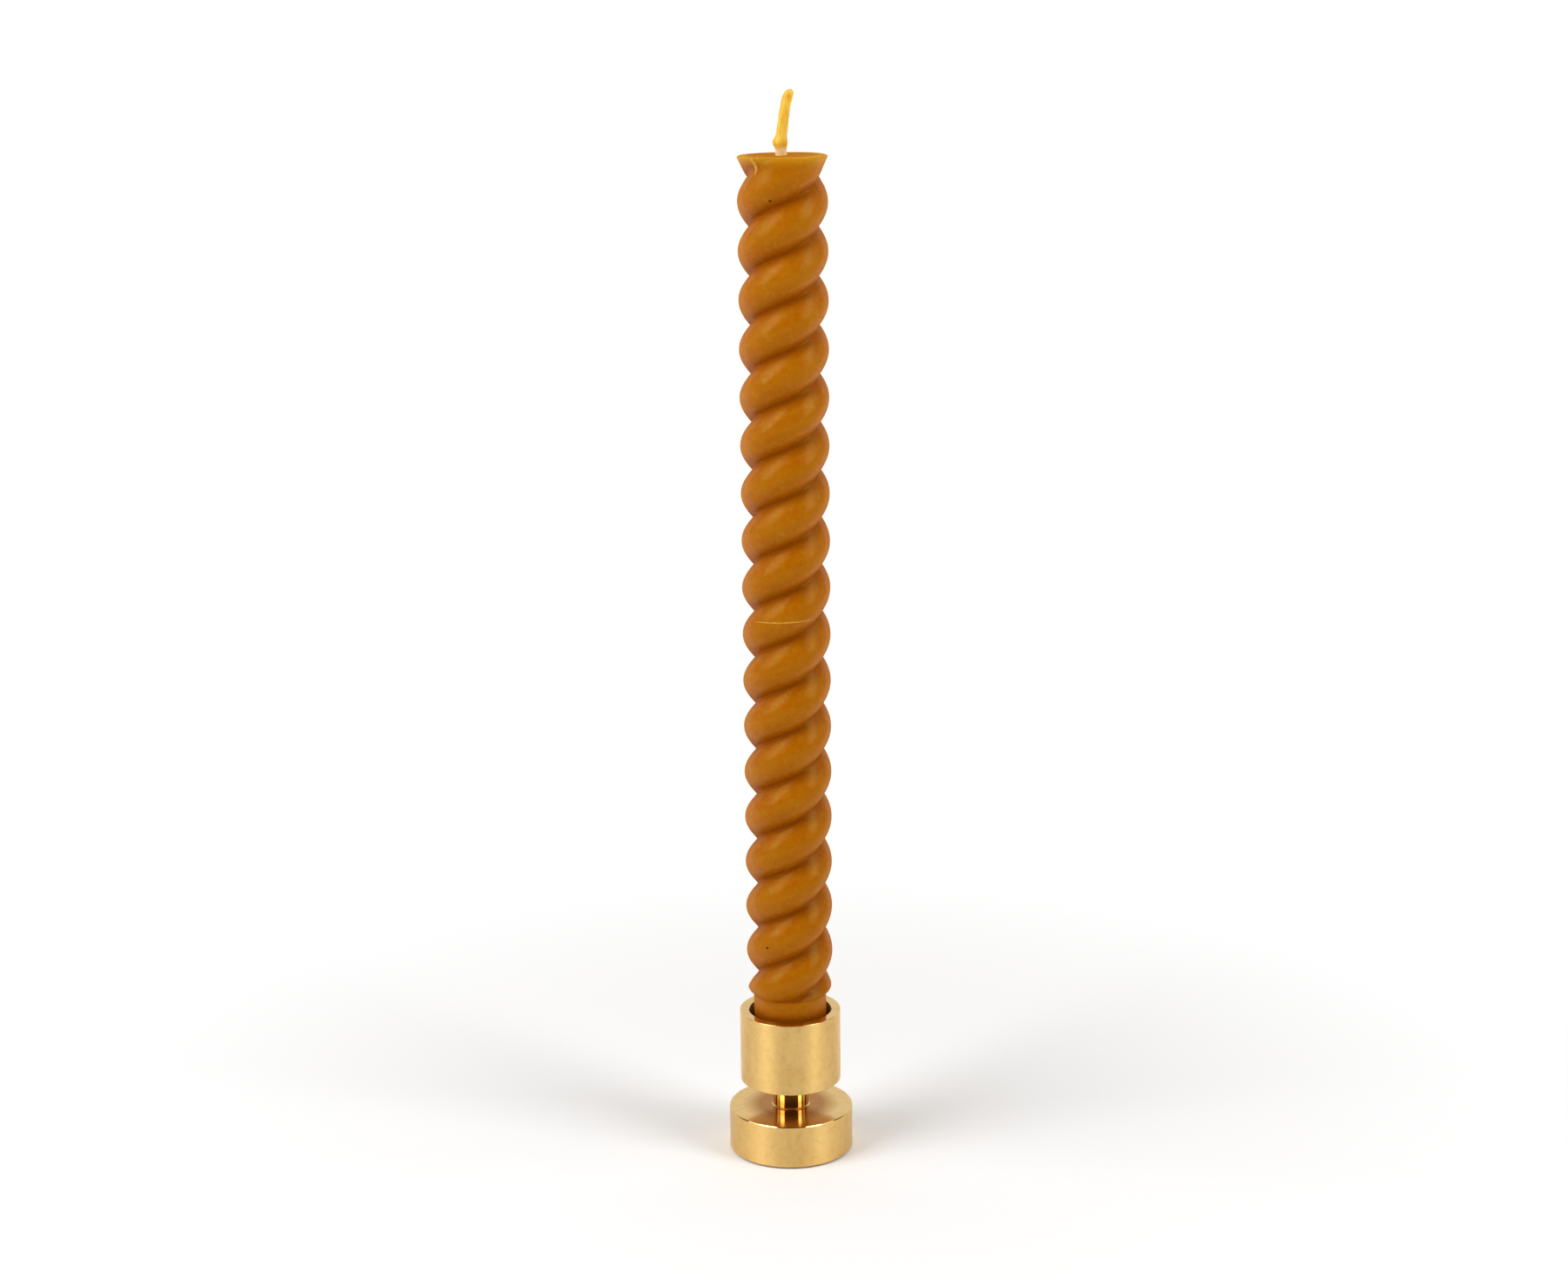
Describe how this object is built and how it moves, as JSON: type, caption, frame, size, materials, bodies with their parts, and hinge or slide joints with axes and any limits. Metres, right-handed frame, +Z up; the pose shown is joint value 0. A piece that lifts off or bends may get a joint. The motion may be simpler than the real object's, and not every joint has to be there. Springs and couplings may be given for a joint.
{
  "type": "candlestick",
  "caption": "Turned brass candlestick: a base disc, a short neck and a cup clamped on one axis, with a removable twisted taper candle standing in the cup.",
  "frame": {"origin": "on the table, under the middle of the base", "axes": "+Z up along the common axis of the base, the cup and the candle; the wick's tip leans towards +X"},
  "size_m": [0.035, 0.035, 0.297],
  "materials": {
    "satin_brass": "satin",
    "polished_brass": "polished",
    "plated_steel": "satin",
    "felt": "matte",
    "beeswax": "satin",
    "wick_cotton": "matte",
    "pale_wax": "satin"
  },
  "bodies": {
    "holder": {"base_disc": "satin_brass", "neck_spacer": "polished_brass", "candle_cup": "satin_brass", "clamp_screw": "plated_steel", "lock_washer": "plated_steel", "felt_pad": "felt"},
    "candle": {"candle_wax": "beeswax", "wick": "wick_cotton", "wick_coat": "pale_wax"}
  },
  "joints": [
    {"name": "candle_lift", "type": "slide", "parent": "holder", "child": "candle", "axis": [0, 0, 1], "range_m": [0, 0.04]}
  ]
}
